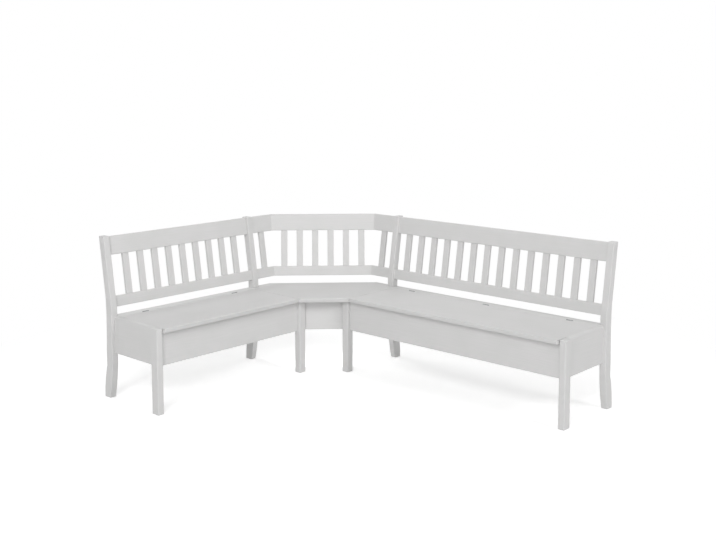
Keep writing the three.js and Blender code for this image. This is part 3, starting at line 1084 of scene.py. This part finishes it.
@dataclass(frozen=True)
class LidHinges:
    """The butt hinges of one lid: two leaves, a pin, and three countersunk screws in each leaf."""

    seat: SeatBoards

    @property
    def size(self) -> HingeSizes:
        """The sizes of each hinge."""
        return self.seat.hinge

    def bar(self, name: str, radius: float, start: float, end: float, arris: float = 0.0) -> bpy.types.Object:
        """Adds a round bar along x about the pin's axis.

        Args:
            name: The bar's name.
            radius: Its radius.
            start: Where it starts.
            end: Where it ends.
            arris: The rounding of its ends, if any.

        Returns:
            The bar.
        """
        deselect_everything()
        bpy.ops.mesh.primitive_cylinder_add(
            vertices=self.size.bar_sides,
            radius=radius,
            depth=end - start,
            location=((start + end) / 2, 0.0, 0.0),
            rotation=(0.0, math.pi / 2, 0.0),
        )
        bar = settle(name)
        if arris:
            rims = any_of(lies_at(Axis.X, start), lies_at(Axis.X, end))
            break_edges(bar, arris, rims, FINE_ARRIS_SEGMENTS)
        return bar

    def plate(self, side: Side, tabs: Sequence[tuple[float, float]]) -> bpy.types.Object:
        """Builds a leaf's plate with rounded lower corners, and its tabs up to the knuckles.

        Args:
            side: What the leaf is screwed to.
            tabs: The spans in x at which a tab rises to a knuckle.

        Returns:
            The plate.
        """
        size = self.size
        near, far = size.leaves_gap / 2, size.leaves_gap / 2 + size.leaf_thickness
        depth = sorted((side.value * near, side.value * far))
        top, half = size.leaf_top, size.length / 2
        bottom = top - size.leaf_height
        plate = add_block("plate", (-half, depth[0], bottom), (half, depth[1], top))
        corners = all_of(runs_along(Axis.Y), lies_at(Axis.Z, bottom))
        break_edges(plate, size.leaf_corner, corners, WIDE_ROUND_SEGMENTS)
        for start, end in tabs:
            tab = add_block("tab", (start, depth[0], top - size.leaf_thickness), (end, depth[1], 0.0))
            merge(plate, tab, Merge.JOIN)
        return plate

    def screws(self, side: Side) -> bpy.types.Object:
        """Builds three countersunk screw heads with cross recesses, nearly flush with a leaf's inner face.

        Args:
            side: What the leaf is screwed to.

        Returns:
            The heads as one piece.
        """
        size, sign = self.size, side.value
        outer = sign * size.leaves_gap / 2 - sign * size.screw_rise
        deselect_everything()
        bpy.ops.mesh.primitive_cone_add(
            vertices=size.bar_sides,
            radius1=size.screw_head_radius - size.leaf_thickness,
            radius2=size.screw_head_radius,
            depth=size.leaf_thickness,
            rotation=(sign * math.pi / 2, 0.0, 0.0),
            location=(0.0, outer + sign * size.leaf_thickness / 2, 0.0),
        )
        head = settle("screw_head")
        reach, half = size.screw_head_radius * size.screw_slot_share, size.screw_slot / 2
        depth = sorted((outer - sign * size.cut_overrun, outer + sign * size.screw_slot_depth))
        for width, height in ((reach, half), (half, reach)):
            slot = add_block("slot", (-width, depth[0], -height), (width, depth[1], height))
            merge(head, slot, Merge.CUT)
        heads = []
        for place, height in size.screw_places:
            copy = copy_of(head, "screw_head")
            set_in_place(copy, Matrix.Translation((place, 0.0, height)))
            heads.append(copy)
        bpy.data.objects.remove(head)
        select_only(*heads)
        bpy.ops.object.join()
        return heads[0]

    def sink_screws(self, leaf: bpy.types.Object, side: Side) -> None:
        """Bores a leaf for its three screws.

        Args:
            leaf: The leaf.
            side: What it is screwed to.
        """
        size = self.size
        for place, height in size.screw_places:
            deselect_everything()
            bpy.ops.mesh.primitive_cylinder_add(
                vertices=size.bar_sides,
                radius=size.screw_head_radius + size.screw_bore_slack,
                depth=size.cut_overrun,
                rotation=(math.pi / 2, 0.0, 0.0),
                location=(place, side.value * size.leaf_thickness, height),
            )
            merge(leaf, settle("screw_bore"), Merge.CUT)

    def fixed_leaf(self) -> bpy.types.Object:
        """Builds the leaf on the strip, with the two outer knuckles and the pin.

        Returns:
            The leaf.
        """
        size = self.size
        half, inner = size.length / 2, (size.knuckle + size.side_gap) / 2
        spans = [(-half, -inner), (inner, half)]
        leaf = self.plate(Side.STRIP, spans)
        for start, end in spans:
            knuckle = self.bar("knuckle", size.knuckle_radius, start, end, size.knuckle_arris)
            merge(leaf, knuckle, Merge.JOIN)
        merge(leaf, self.bar("pin", size.pin_radius, -half, half), Merge.JOIN)
        self.sink_screws(leaf, Side.STRIP)
        return leaf

    def lid_leaf(self) -> bpy.types.Object:
        """Builds the leaf on the lid, with the middle knuckle, bored for the pin.

        Returns:
            The leaf.
        """
        size = self.size
        half = (size.knuckle - size.side_gap) / 2
        leaf = self.plate(Side.LID, [(-half, half)])
        knuckle = self.bar("knuckle", size.knuckle_radius, -half, half, size.knuckle_arris)
        merge(leaf, knuckle, Merge.JOIN)
        radius = size.pin_radius + size.pin_clearance
        bore = self.bar("bore", radius, -half - size.cut_overrun, half + size.cut_overrun)
        merge(leaf, bore, Merge.CUT)
        self.sink_screws(leaf, Side.LID)
        return leaf

    def build(self, finishes: Finishes) -> None:
        """Builds every hinge of the lid from one model of each leaf.

        Args:
            finishes: The bench's finishes.
        """
        run = self.seat.run
        models = (
            ("fixed_leaf", BENCH_BODY, "plated", self.fixed_leaf()),
            ("fixed_leaf", BENCH_BODY, "screws", self.screws(Side.STRIP)),
            ("lid_leaf", run.lid_body, "plated", self.lid_leaf()),
            ("lid_leaf", run.lid_body, "screws", self.screws(Side.LID)),
        )
        for number, distance in enumerate(self.seat.hinge_places(), start=1):
            middle = (run.hand * distance, -self.seat.hinge_depth, SEAT_HEIGHT)
            place = run.place() @ Matrix.Translation(middle)
            for leaf, body, label, model in models:
                node = f"{run.name}_hinge_{number}_{leaf}"
                piece = copy_of(model, f"{label}_{node}")
                set_in_place(piece, place)
                finishes.plate(piece, run.grain, node, body)
        for *_, model in models:
            bpy.data.objects.remove(model)


@dataclass(frozen=True)
class BackSizes:
    """The sizes that the benches' backs and the corner's back share."""

    base_depth: float = 0.0185
    base_height: float = 0.504
    top_height: float = 0.8887
    lower_share: float = 0.154
    top_share: float = 0.265
    rail_thickness: float = 0.025
    rail_radius: float = 0.004
    slat_width: float = 0.039
    slat_thickness: float = 0.018
    slat_setback: float = 0.005
    slat_radius: float = 0.003

    @property
    def length(self) -> float:
        """Length of the back, up its rake."""
        return (self.top_height - self.base_height) / math.cos(RAKE)

    @property
    def lower_rail(self) -> tuple[float, float]:
        """Where the lower rail starts and ends, up the back."""
        return 0.0, self.length * self.lower_share

    @property
    def top_rail(self) -> tuple[float, float]:
        """Where the top rail starts and ends, up the back."""
        return self.length * (1 - self.top_share), self.length

    def slat_places(self, start: float, end: float, count: int, end_gap: float) -> list[float]:
        """Middles of the slats in a bay."""
        inset = end_gap + self.slat_width / 2
        return spread(start + inset, end - inset, count)

    def slat(self, name: str, middle: float, place: Matrix) -> bpy.types.Object:
        """Builds one slat between the rails.

        Args:
            name: The slat's name.
            middle: Its middle along the back.
            place: From the back's leaning frame to the row frame.

        Returns:
            The slat.
        """
        half = self.slat_width / 2
        front = self.slat_setback - self.rail_thickness
        low = (middle - half, front, self.lower_rail[1] + JOINT_GAP)
        high = (middle + half, front + self.slat_thickness, self.top_rail[0] - JOINT_GAP)
        slat = add_block(name, low, high)
        break_edges(slat, self.slat_radius, runs_along(Axis.Z))
        set_in_place(slat, place)
        return slat


@dataclass(frozen=True)
class BenchBack:
    """The straight slatted back of one bench."""

    run: Run
    sizes: BackSizes

    def build(self, finishes: Finishes) -> None:
        """Builds both rails and the slats between them.

        Args:
            finishes: The bench's finishes.
        """
        sizes, run = self.sizes, self.run
        place = run.place() @ back_frame(sizes.base_depth, sizes.base_height)
        start, end = FRAME_REACH + JOINT_GAP, run.outer_frame - JOINT_GAP
        low, high = run.span(start, end)
        for name, (bottom, top) in (("lower_rail", sizes.lower_rail), ("top_rail", sizes.top_rail)):
            node = f"{run.name}_{name}"
            rail = add_block(f"painted_{node}", (low, -sizes.rail_thickness, bottom), (high, 0.0, top))
            break_edges(rail, sizes.rail_radius, runs_along(Axis.X))
            set_in_place(rail, place)
            finishes.paint(rail, run.grain, node)
        places = sizes.slat_places(start, end, run.slats, run.slat_end_gap)
        for number, distance in enumerate(places, start=1):
            name = f"{run.name}_slat_{number}"
            slat = sizes.slat(f"painted_{name}", run.hand * distance, place)
            # The frame has the long bench's slats in one solid with their lower rail
            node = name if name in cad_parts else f"{run.name}_lower_rail"
            finishes.paint(slat, Grain.UPRIGHT, node)


@dataclass(frozen=True)
class CornerBack:
    """The back of the corner unit: two rails bent round in three mitred facets, and their slats."""

    runs: tuple[Run, Run]
    sizes: BackSizes
    facet_offset: float = 0.324
    diagonal_slats: int = 6
    diagonal_end_gap: float = 0.0624
    overlength: float = 0.100

    def mitre_reach(self, depth: float) -> float:
        """Distance from the corner at which a wing meets the diagonal facet."""
        return math.sqrt(2) * (depth + self.facet_offset) - depth

    def facets(self) -> list[tuple[Matrix, float, float]]:
        """Places the three facets.

        Returns:
            Each facet's leaning frame, and the span in x of the board that its rail starts from.
        """
        sizes = self.sizes
        near = self.mitre_reach(sizes.base_depth - sizes.length * math.sin(RAKE)) - self.overlength
        far = FRAME_REACH - POST_WIDTH - JOINT_GAP
        wing = back_frame(sizes.base_depth, sizes.base_height)
        middle = back_frame(sizes.base_depth + self.facet_offset, sizes.base_height)
        reach = far / 2 + self.overlength
        wings = [(run.place() @ wing, *run.span(near, far)) for run in self.runs]
        return [*wings, (diagonal_frame() @ middle, -reach, reach)]

    def rail(self, name: str, bottom: float, top: float) -> bpy.types.Object:
        """Builds one bent rail from three boards, sawn to their mitres and joined.

        Args:
            name: The rail's name.
            bottom: Where it starts, up the back.
            top: Where it ends, up the back.

        Returns:
            The rail.
        """
        corner = corner_point()
        slope = math.sqrt(2) - 1
        mitre = math.sqrt(2) * self.facet_offset
        boards = []
        for place, start, end in self.facets():
            board = add_block(name, (start, -self.sizes.rail_thickness, bottom), (end, 0.0, top))
            set_in_place(board, place)
            boards.append(board)
        *wings, diagonal = boards
        cuts = (
            (corner + Vector((mitre, 0.0, 0.0)), Vector((1.0, slope, 0.0))),
            (corner + Vector((0.0, -mitre, 0.0)), Vector((-slope, -1.0, 0.0))),
        )
        for wing, (point, normal) in zip(wings, cuts):
            saw(wing, point, -normal, waste=True, close=False)
            saw(diagonal, point, normal, waste=True, close=False)
        select_only(*boards)
        bpy.ops.object.join()
        rail = boards[0]
        with editing(rail, Picking.EVERYTHING):
            bpy.ops.mesh.remove_doubles(threshold=TOUCH)
            bpy.ops.mesh.normals_make_consistent(inside=False)
        break_edges(rail, self.sizes.rail_radius, longer_than(top - bottom + TOUCH))
        return rail

    def build(self, finishes: Finishes) -> None:
        """Builds both bent rails, the wing slats and the slats of the diagonal.

        Args:
            finishes: The bench's finishes.
        """
        sizes = self.sizes
        for node, span in (("corner_lower_rail", sizes.lower_rail), ("corner_top_rail", sizes.top_rail)):
            finishes.paint(self.rail(f"painted_{node}", *span), Grain.ALONG_DIAGONAL, node)
        middle_up = (sizes.lower_rail[1] + sizes.top_rail[0]) / 2
        middle = sizes.base_depth - middle_up * math.sin(RAKE)
        (*wings, (diagonal, _, _)) = self.facets()
        for run, (place, _, _) in zip(self.runs, wings):
            distance = (self.mitre_reach(middle) + FRAME_REACH - POST_WIDTH) / 2
            node = f"corner_{run.name}_wing_slat_1"
            slat = sizes.slat(f"painted_{node}", run.hand * distance, place)
            finishes.paint(slat, Grain.UPRIGHT, node)
        half = (self.mitre_reach(middle) - middle) / math.sqrt(2)
        places = sizes.slat_places(-half, half, self.diagonal_slats, self.diagonal_end_gap)
        for number, distance in enumerate(places, start=1):
            node = f"corner_slat_{number}"
            finishes.paint(sizes.slat(f"painted_{node}", distance, diagonal), Grain.UPRIGHT, node)


@dataclass(frozen=True)
class CrossBoard:
    """A board that stands across the corner, its ends sawn to the benches' frames."""

    node: str
    # The sum of its front face's distances from both rear planes
    face: float
    thickness: float
    # How far its ends stand from the corner, along each bench
    reach: float
    arris_radius: float = 0.002

    def build(self, finishes: Finishes) -> None:
        """Builds the board.

        Args:
            finishes: The bench's finishes.
        """
        low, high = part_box(self.node)
        front = self.face / math.sqrt(2)
        board = add_block(
            f"painted_{self.node}",
            (-self.reach, -front, low.z),
            (self.reach, self.thickness - front, high.z),
        )
        set_in_place(board, diagonal_frame())
        corner, end = corner_point(), self.reach - JOINT_GAP
        saw(board, corner + Vector((end, 0.0, 0.0)), (1.0, 0.0, 0.0), waste=True)
        saw(board, corner + Vector((0.0, -end, 0.0)), (0.0, -1.0, 0.0), waste=True)
        # The sawn ends' level edges are shorter than twice the thickness
        long_edges = all_of(longer_than(2 * self.thickness), is_not(runs_along(Axis.Z)))
        break_edges(board, self.arris_radius, long_edges)
        finishes.paint(board, Grain.ALONG_DIAGONAL, self.node)


@dataclass(frozen=True)
class CornerSeat:
    """The corner seat board, the apron under its front and the bearer under its rear."""

    seat_joint: float = 0.6885
    seat_front: float = 0.485
    rear_cut: float = 0.517
    notch_clearance: float = 0.002
    cut_overrun: float = 0.005
    front: SeatFront = SeatFront()
    arris_radius: float = 0.002
    boards: tuple[CrossBoard, ...] = (
        CrossBoard("corner_apron", face=1.060, thickness=0.018, reach=0.618),
        CrossBoard("corner_rear_bearer", face=0.740, thickness=0.025, reach=0.647),
    )

    def diagonal_point(self, total: float) -> Vector:
        """The floor point on the diagonal whose distances from both rear planes have this sum."""
        return corner_point() + Vector((total / 2, -total / 2, 0.0))

    def build(self, finishes: Finishes) -> None:
        """Builds the seat, the apron and the bearer.

        Args:
            finishes: The bench's finishes.
        """
        self.build_seat(finishes)
        for board in self.boards:
            board.build(finishes)

    def build_seat(self, finishes: Finishes) -> None:
        """Saws the seat to its outline, rounds its edges and notches it round both posts.

        Args:
            finishes: The bench's finishes.
        """
        node = "corner_seat"
        seat, low, high = add_stock(node)
        outward = Vector((1.0, -1.0, 0.0)).normalized()
        edge_point = self.diagonal_point(self.seat_joint + self.seat_front)
        saw(seat, edge_point, outward, waste=True)
        saw(seat, self.diagonal_point(self.rear_cut), -outward, waste=True)
        edge_point.z = high.z
        self.front.work(seat, edge_point, outward, high.z - low.z)
        level = any_of(lies_at(Axis.Z, low.z), lies_at(Axis.Z, high.z))
        worked = lies_near(edge_point, outward, self.front.reach)
        break_edges(seat, self.arris_radius, all_of(level, is_not(worked)))
        self.notch_posts(seat, low, high)
        finishes.paint(seat, Grain.ALONG_DIAGONAL, node)

    def notch_posts(self, seat: bpy.types.Object, low: Vector, high: Vector) -> None:
        """Cuts the seat clear of the two inner rear posts.

        Args:
            seat: The seat board.
            low: Its lowest corner.
            high: Its highest corner.
        """
        corner, over = corner_point(), self.cut_overrun
        near = FRAME_REACH - POST_WIDTH - self.notch_clearance
        far = FRAME_REACH + self.notch_clearance
        deep = POST_DEPTH + self.notch_clearance
        for (x0, y0), (x1, y1) in (((near, -deep), (far, 0.0)), ((0.0, -far), (deep, -near))):
            notch_low = (corner.x + x0, corner.y + y0, low.z - over)
            notch_high = (corner.x + x1, corner.y + y1, high.z + over)
            merge(seat, add_block("notch", notch_low, notch_high), Merge.CUT)


@dataclass(frozen=True)
class SoftLight:
    """One square soft lamp, aimed at a point, which is the bench's middle unless another is given."""

    name: str
    place: Place
    size: float
    power: float
    aim: Place = (0.0, 0.0, 0.45)

    def build(self) -> None:
        """Hangs the lamp in its place."""
        data = bpy.data.lights.new(self.name, "AREA")
        data.shape = "SQUARE"
        data.size = self.size
        data.energy = self.power
        lamp = bpy.data.objects.new(self.name, data)
        bpy.context.scene.collection.objects.link(lamp)
        lamp.location = self.place
        towards = Vector(self.aim) - Vector(self.place)
        lamp.rotation_euler = towards.to_track_quat("-Z", "Y").to_euler()
        lamp.visible_camera = False


@dataclass(frozen=True)
class Studio:
    """The pale floor, the soft lamps, the white surroundings and the camera."""

    floor_size: float = 60.0
    floor_colour: str = "#F2F2F2"
    floor_lift: float = 0.42
    # The floor turns from lifted paint to plain white between these distances from its middle
    clear_from: float = 1.5
    clear_to: float = 2.6
    sky_strength: float = 0.35
    # The camera was fitted to the bench's edges in the photograph. Its angles are in degrees
    camera_place: Place = (3.61496, -3.91833, 1.75692)
    camera_pitch: float = 6.120
    camera_yaw: float = 42.459
    focal_length_px: float = 1004.742
    horizon_shift_px: float = -85.0
    sensor_width: float = 36.0
    lamps: tuple[SoftLight, ...] = (
        SoftLight("key_lamp", (11.4, 1.0, 8.5), size=3.0, power=360.0),
        SoftLight("front_lamp", (5.7, -9.8, 8.7), size=5.0, power=710.0),
        SoftLight("low_lamp", (9.9, -9.9, 1.7), size=4.0, power=138.0),
        SoftLight("left_rim_lamp", (-11.2, 0.0, 8.9), size=5.0, power=353.0),
        SoftLight("rear_rim_lamp", (0.0, 11.2, 8.9), size=5.0, power=157.0),
        SoftLight("corner_lamp", (0.0, -0.2, 1.6), size=1.0, power=1.1),
        SoftLight("foot_lamp", (-0.6, 0.38, 0.12), size=0.15, power=1.0, aim=(-0.8, 0.58, 0.0)),
    )

    def build(self) -> None:
        """Sets the floor, the surroundings, the lamps and the camera."""
        self.build_floor()
        self.build_surroundings()
        for lamp in self.lamps:
            lamp.build()
        self.build_camera()

    @staticmethod
    def seen_or_mirrored(tree: bpy.types.NodeTree) -> bpy.types.NodeSocket:
        """Tells what is seen directly or in a gloss from what only sends light.

        Args:
            tree: The node tree of the floor or the world.

        Returns:
            A socket that is 1 for camera, glossy and transmitted rays, and 0 for the rest.
        """
        rays = add_node(tree, "ShaderNodeLightPath")
        found = rays.outputs["Is Camera Ray"]
        for kind in ("Is Glossy Ray", "Is Transmission Ray"):
            either = add_node(tree, "ShaderNodeMath", {0: found, 1: rays.outputs[kind]}, operation="MAXIMUM")
            found = either.outputs["Value"]
        return found

    def build_floor(self) -> None:
        """Lays a pale matt floor that the camera sees as white away from the bench's shadow."""
        deselect_everything()
        bpy.ops.mesh.primitive_plane_add(size=self.floor_size, location=(0.0, 0.0, 0.0))
        floor = bpy.context.active_object
        floor.name = "studio_floor"
        material, tree = new_material("pale_matt_studio_floor")
        place = add_node(tree, "ShaderNodeTexCoord").outputs["Object"]
        distance = add_node(tree, "ShaderNodeVectorMath", {0: place}, operation="LENGTH").outputs["Value"]
        reach = {"Value": distance, "From Min": self.clear_from, "From Max": self.clear_to}
        clear = add_node(tree, "ShaderNodeMapRange", reach, interpolation_type="SMOOTHSTEP")
        paint = {"Color": hex_to_linear(self.floor_colour), "Roughness": 0.0}
        matt = add_node(tree, "ShaderNodeBsdfDiffuse", paint).outputs["BSDF"]
        lift = add_node(tree, "ShaderNodeEmission", {"Color": WHITE, "Strength": self.floor_lift})
        lifted = add_node(tree, "ShaderNodeAddShader", {0: matt, 1: lift.outputs["Emission"]})
        white = add_node(tree, "ShaderNodeEmission", {"Color": WHITE, "Strength": 1.0})
        seen = add_node(
            tree,
            "ShaderNodeMixShader",
            {0: clear.outputs["Result"], 1: lifted.outputs["Shader"], 2: white.outputs["Emission"]},
        )
        final = add_node(
            tree, "ShaderNodeMixShader", {0: self.seen_or_mirrored(tree), 1: matt, 2: seen.outputs["Shader"]}
        )
        add_node(tree, "ShaderNodeOutputMaterial", {"Surface": final.outputs["Shader"]})
        floor.data.materials.append(material)

    def build_surroundings(self) -> None:
        """Makes the world white to the eye and in reflections, and a plain soft light elsewhere."""
        world = bpy.data.worlds.new("white_surroundings")
        bpy.context.scene.world = world
        world.use_nodes = True
        tree = world.node_tree
        tree.nodes.clear()
        levels = {"Value": self.seen_or_mirrored(tree), "To Min": self.sky_strength, "To Max": 1.0}
        strength = add_node(tree, "ShaderNodeMapRange", levels).outputs["Result"]
        sky = add_node(tree, "ShaderNodeBackground", {"Color": WHITE, "Strength": strength})
        add_node(tree, "ShaderNodeOutputWorld", {"Surface": sky.outputs["Background"]})

    def build_camera(self) -> None:
        """Stands the camera where the photograph was taken from."""
        data = bpy.data.cameras.new("photo_camera")
        data.sensor_width = self.sensor_width
        data.lens = self.focal_length_px * self.sensor_width / PHOTO_WIDTH_PX
        data.shift_y = self.horizon_shift_px / PHOTO_WIDTH_PX
        camera = bpy.data.objects.new("photo_camera", data)
        bpy.context.scene.collection.objects.link(camera)
        camera.location = self.camera_place
        camera.rotation_euler = (math.radians(90.0 - self.camera_pitch), 0.0, math.radians(self.camera_yaw))
        bpy.context.scene.camera = camera


def build_bench(run: Run, hinge: HingeSizes, back: BackSizes, finishes: Finishes) -> None:
    """Builds one straight bench with its chest, lid, hinges and back.

    Args:
        run: The bench.
        hinge: The sizes of its hinges.
        back: The sizes of its back.
        finishes: The finishes.
    """
    seat = SeatBoards(run, hinge)
    for part in (FrontLegs(run), RearPosts(run), Chest(run), seat, LidHinges(seat), BenchBack(run, back)):
        part.build(finishes)


def main() -> None:
    """Builds the bench and its studio."""
    logging.basicConfig(level=logging.INFO, format="%(message)s")
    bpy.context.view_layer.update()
    bpy.context.scene.view_settings.view_transform = "Standard"
    Studio().build()
    finishes = Finishes()
    long_run = Run(
        name="long",
        hand=1,
        turn=0.0,
        length=LONG_LENGTH,
        grain=Grain.ALONG_LONG_BENCH,
        lid_body="long_lid_assembly",
        slats=14,
        slat_end_gap=0.0627,
        hinges=3,
    )
    short_run = Run(
        name="short",
        hand=-1,
        turn=math.pi / 2,
        length=SHORT_LENGTH,
        grain=Grain.ALONG_SHORT_BENCH,
        lid_body="short_lid_assembly",
        slats=9,
        slat_end_gap=0.0847,
        hinges=2,
    )
    hinge, back = HingeSizes(), BackSizes()
    for run in (long_run, short_run):
        build_bench(run, hinge, back, finishes)
    CornerBack((long_run, short_run), back).build(finishes)
    CornerSeat().build(finishes)


if __name__ == "__main__":
    main()
